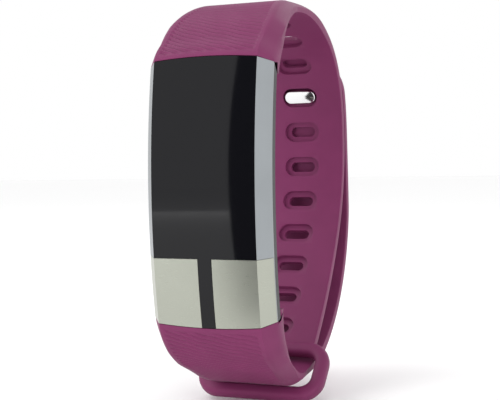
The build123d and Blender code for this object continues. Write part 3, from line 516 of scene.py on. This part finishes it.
# the lugs and the knobs of the spring bars sit in pockets that are open towards the wrist
pocket = {
    "barY": -23.9, "barZ": 22.3, "halfWidth": 4.95, "radius": 1.55, "depth": 5.0, "low": 17.0, "round": 0.3,
    "knob": (4.58, 7.02), "knobHalf": 0.62, "knobLead": 0.2, "knobRound": 0.15,
}


def cutPocket(piece, side):
    y, z, inside = pocket["barY"], pocket["barZ"], pocket["barY"] + pocket["depth"]
    lugRoom = ((-pocket["halfWidth"], pocket["halfWidth"]), (y - pocket["radius"], inside),
               (pocket["low"], z + pocket["radius"]))
    knobRoom = (pocket["knob"], (y - pocket["knobLead"], inside), (z - pocket["knobHalf"], z + pocket["knobHalf"]))
    for spans, rounding in ((lugRoom, pocket["round"]), (knobRoom, pocket["knobRound"])):
        cutter = bmesh.new()
        bmesh.ops.create_cube(cutter, size=1)
        bmesh.ops.scale(cutter, vec=[high - low for low, high in spans], verts=cutter.verts[:])
        bmesh.ops.translate(cutter, vec=[(low + high) / 2 for low, high in spans], verts=cutter.verts[:])
        softenEdges(cutter, rounding, 3, 60)
        bmesh.ops.scale(cutter, vec=(mm, mm, mm * side), verts=cutter.verts[:])
        bmesh.ops.recalc_face_normals(cutter, faces=cutter.faces[:])
        mesh = bpy.data.meshes.new("pocketCutter")
        cutter.to_mesh(mesh)
        cutter.free()
        tool = bpy.data.objects.new("pocketCutter", mesh)
        scene.collection.objects.link(tool)
        cut = piece.modifiers.new("pocket", "BOOLEAN")
        cut.operation, cut.solver, cut.object = "DIFFERENCE", "EXACT", tool
        settled = bpy.data.meshes.new_from_object(piece.evaluated_get(bpy.context.evaluated_depsgraph_get()))
        piece.modifiers.clear()
        piece.data = settled
        bpy.data.objects.remove(tool)
        bpy.data.meshes.remove(mesh)


upperPiece = place(makeStrap(upperStrap, addRing), "upperStrapSkin", "strap_purple", "band")
cutPocket(upperPiece, 1)
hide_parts("upper_strap")
print("upper strap made,", len(upperPiece.data.polygons), "faces")

lowerPiece = place(makeStrap(lowerStrap), "lowerStrapSkin", "strap_purple", None)
cutPocket(lowerPiece, -1)
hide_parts("lower_strap", "lower_strap_tail")
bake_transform(lowerPiece)
print("lower strap made,", len(lowerPiece.data.polygons), "faces")

# the clasp stud stands in the fourth hole, with its head on the wrist side
stud = {
    "head": (6.4, 2.6, 0.8), "shank": (4.4, 1.3), "rise": 0.82, "reach": 2.6, "sunk": 0.3, "seat": 54.79,
    "crown": 0.25,
}
bm = bmesh.new()
roundedPlate(bm, stud["head"][0], stud["head"][1], stud["head"][1] / 2 - 0.01, 10)
thicken(bm, stud["head"][2])
bmesh.ops.translate(bm, vec=(0, 0, stud["rise"] - stud["head"][2]), verts=bm.verts[:])
bmesh.ops.recalc_face_normals(bm, faces=bm.faces[:])
softenEdges(bm, stud["crown"], 4, 60)
neck = bmesh.new()
roundedPlate(neck, stud["shank"][0], stud["shank"][1], stud["shank"][1] / 2 - 0.01, 8)
thicken(neck, stud["reach"])
bmesh.ops.translate(neck, vec=(0, 0, stud["rise"] - stud["sunk"]), verts=neck.verts[:])
joinInto(bm, neck)
standOn(bm, stud["seat"], 0)
studPiece = place(bm, "claspStudPolished", "polished_steel", "tail")
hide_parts("clasp_stud")
print("clasp stud made")

studio = {"floor": (0.97, 0.97, 0.97), "floorRough": 0.8, "floorSize": 3.0, "below": 0.0003, "world": 1.0}


def stagePlane(name, bm, colour, rough):
    mesh = bpy.data.meshes.new(name)
    bm.to_mesh(mesh)
    bm.free()
    plane = bpy.data.objects.new(name, mesh)
    scene.collection.objects.link(plane)
    finish = bpy.data.materials.new(name)
    finish.use_nodes = True
    finish.node_tree.nodes["Principled BSDF"].inputs["Base Color"].default_value = (*colour, 1)
    finish.node_tree.nodes["Principled BSDF"].inputs["Roughness"].default_value = rough
    mesh.materials.append(finish)
    return plane


bm = bmesh.new()
bmesh.ops.create_grid(bm, x_segments=1, y_segments=1, size=studio["floorSize"])
bmesh.ops.translate(bm, vec=(0, 0, cadBox[0][2] - studio["below"]), verts=bm.verts[:])
stagePlane("floor", bm, studio["floor"], studio["floorRough"])

world = bpy.data.worlds.new("studio")
scene.world = world
world.use_nodes = True
world.node_tree.nodes["Background"].inputs["Color"].default_value = (1, 1, 1, 1)
world.node_tree.nodes["Background"].inputs["Strength"].default_value = studio["world"]
lamps = [
    {"name": "key", "place": (-0.45, -0.15, 0.50), "size": 0.35, "power": 1.1, "glossy": True},
    {"name": "fill", "place": (0.50, -0.25, 0.15), "size": 0.30, "power": 0.35, "glossy": True},
    {"name": "rim", "place": (0.15, 0.45, 0.35), "size": 0.30, "power": 0.3, "glossy": True},
    {"name": "low", "place": (-0.16, -0.40, -0.02), "size": 0.25, "power": 0.75, "glossy": False},
]
for lamp in lamps:
    data = bpy.data.lights.new(lamp["name"], "AREA")
    data.size = lamp["size"]
    data.energy = lamp["power"]
    light = bpy.data.objects.new(lamp["name"], data)
    light.location = lamp["place"]
    light.rotation_euler = (-Vector(lamp["place"])).to_track_quat("-Z", "Y").to_euler()
    light.visible_camera = False
    light.visible_glossy = lamp["glossy"]
    scene.collection.objects.link(light)

# a dark card beside the camera, seen only in the gloss of the display and the electrodes
darkCard = {
    "left": -0.0078, "right": 0.0022, "low": -0.037, "high": 0.040, "distance": -0.060, "lean": -0.9,
    "colour": (0.01, 0.01, 0.01), "rough": 0.5,
}
across, upright = ((darkCard["left"], darkCard["right"]), (darkCard["low"], darkCard["high"]))
bm = bmesh.new()
bmesh.ops.create_grid(bm, x_segments=1, y_segments=1, size=0.5)
bmesh.ops.scale(bm, vec=(across[1] - across[0], upright[1] - upright[0], 1), verts=bm.verts[:])
for axis, angle in (("X", 90), ("Y", darkCard["lean"])):
    bmesh.ops.rotate(bm, cent=(0, 0, 0), matrix=Matrix.Rotation(radians(angle), 3, axis), verts=bm.verts[:])
bmesh.ops.translate(bm, vec=(sum(across) / 2, darkCard["distance"], sum(upright) / 2), verts=bm.verts[:])
card = stagePlane("darkCard", bm, darkCard["colour"], darkCard["rough"])
card.visible_camera = False
card.visible_shadow = False
card.visible_diffuse = False
scene.view_settings.view_transform = "Standard"
print("studio made")
